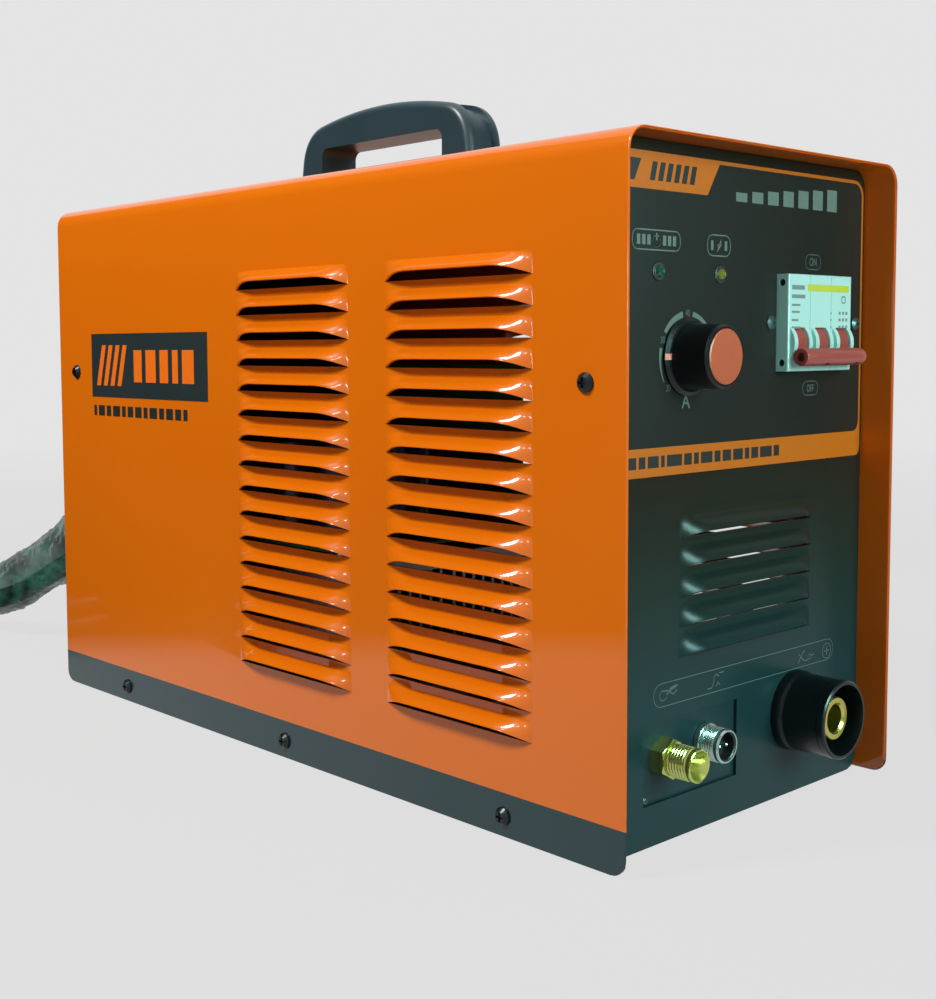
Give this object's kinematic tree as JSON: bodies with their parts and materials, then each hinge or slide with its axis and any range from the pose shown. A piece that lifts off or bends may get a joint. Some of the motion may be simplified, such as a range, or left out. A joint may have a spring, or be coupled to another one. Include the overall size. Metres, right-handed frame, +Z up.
{
  "type": "plasma cutter unit",
  "caption": "Inverter plasma cutter in a louvred orange sheet cover with a top handle, a dial and breaker front panel, torch and work sockets, a rear fan and a coiled power lead.",
  "frame": {"origin": "on the floor under the middle of the cover, in the plane of the base pan's underside", "axes": "+X to the right seen from the front, +Y towards the rear panel, +Z up; the front panel faces -Y"},
  "size_m": [0.379, 0.7712, 0.3523],
  "materials": {
    "orange_paint": "gloss",
    "teal_paint": "satin",
    "badge_print": "satin",
    "label_print": "satin",
    "black_plastic": "satin",
    "gloss_black_plastic": "gloss",
    "handle_plastic": "satin",
    "orange_plastic": "gloss",
    "pointer_paint": "matte",
    "breaker_white": "satin",
    "breaker_red": "satin",
    "lamp_green": "gloss",
    "lamp_yellow": "gloss",
    "zinc_steel": "satin",
    "black_screw": "satin",
    "brass": "machined",
    "nickel": "machined",
    "aluminium": "extruded",
    "board": "satin",
    "capacitor_sleeve": "gloss",
    "ferrite": "matte",
    "winding": "varnished",
    "rubber": "matte",
    "gas_hose": "gloss",
    "clear_film": "clear"
  },
  "bodies": {
    "case": {"cover_top": "orange_paint", "cover_left": "orange_paint", "cover_right": "orange_paint", "base_pan": "zinc_steel", "front_panel": "teal_paint", "front_label": "label_print", "rear_panel": "teal_paint", "side_badges": "badge_print", "cover_screws": "black_screw", "plated_screws": "zinc_steel", "handle": "handle_plastic", "lamp_bezels": "black_plastic", "power_lamp": "lamp_green", "fault_lamp": "lamp_yellow", "potentiometer": "zinc_steel", "breaker_body": "breaker_white", "breaker_bracket": "zinc_steel", "panel_screws": "nickel", "connector_plate": "teal_paint", "torch_connector": "brass", "panel_nuts": "nickel", "control_socket": "nickel", "control_socket_insert": "black_plastic", "control_socket_pins": "nickel", "work_socket_housing": "gloss_black_plastic", "work_socket_contact": "brass", "work_socket_nut": "brass", "fan_frame": "black_plastic", "fan_guard": "zinc_steel", "fan_screws": "black_screw", "cable_gland": "black_plastic", "strain_relief": "rubber", "gas_inlet": "brass", "earth_stud": "zinc_steel", "heatsink_rails": "zinc_steel", "heatsinks": "aluminium", "board_standoffs": "nickel", "main_board": "board", "bus_capacitors": "capacitor_sleeve", "control_board": "board", "transformer_core": "ferrite", "transformer_winding": "winding", "output_choke": "winding", "valve_body": "brass", "valve_coil": "black_plastic", "gas_hose": "gas_hose", "power_cable": "rubber", "cable_tail": "rubber", "cable_coil": "rubber", "cable_tie": "black_plastic", "plug_body": "black_plastic", "plug_pins": "nickel"},
    "dial": {"knob": "gloss_black_plastic", "knob_cap": "orange_plastic", "knob_pointer": "pointer_paint", "pot_shaft": "nickel"},
    "breaker_lever": {"breaker_levers": "breaker_red", "breaker_tie_bar": "breaker_red"},
    "fan": {"fan_rotor": "black_plastic"},
    "plunger": {"valve_plunger": "zinc_steel"}
  },
  "joints": [
    {"name": "dial_turn", "type": "hinge", "parent": "case", "child": "dial", "pos_m": [-0.0423, -0.2155, 0.211], "axis": [0, 1, 0], "range_deg": [-45, 225]},
    {"name": "breaker_throw", "type": "hinge", "parent": "case", "child": "breaker_lever", "pos_m": [0.0523, -0.214, 0.2165], "axis": [-1, 0, 0], "range_deg": [0, 54]},
    {"name": "fan_spin", "type": "hinge", "parent": "case", "child": "fan", "pos_m": [0, 0.19, 0.172], "axis": [0, 1, 0], "continuous": true},
    {"name": "plunger_lift", "type": "slide", "parent": "case", "child": "plunger", "axis": [0, 0, 1], "range_m": [0, 0.002], "stiffness_N_per_m": 400}
  ]
}
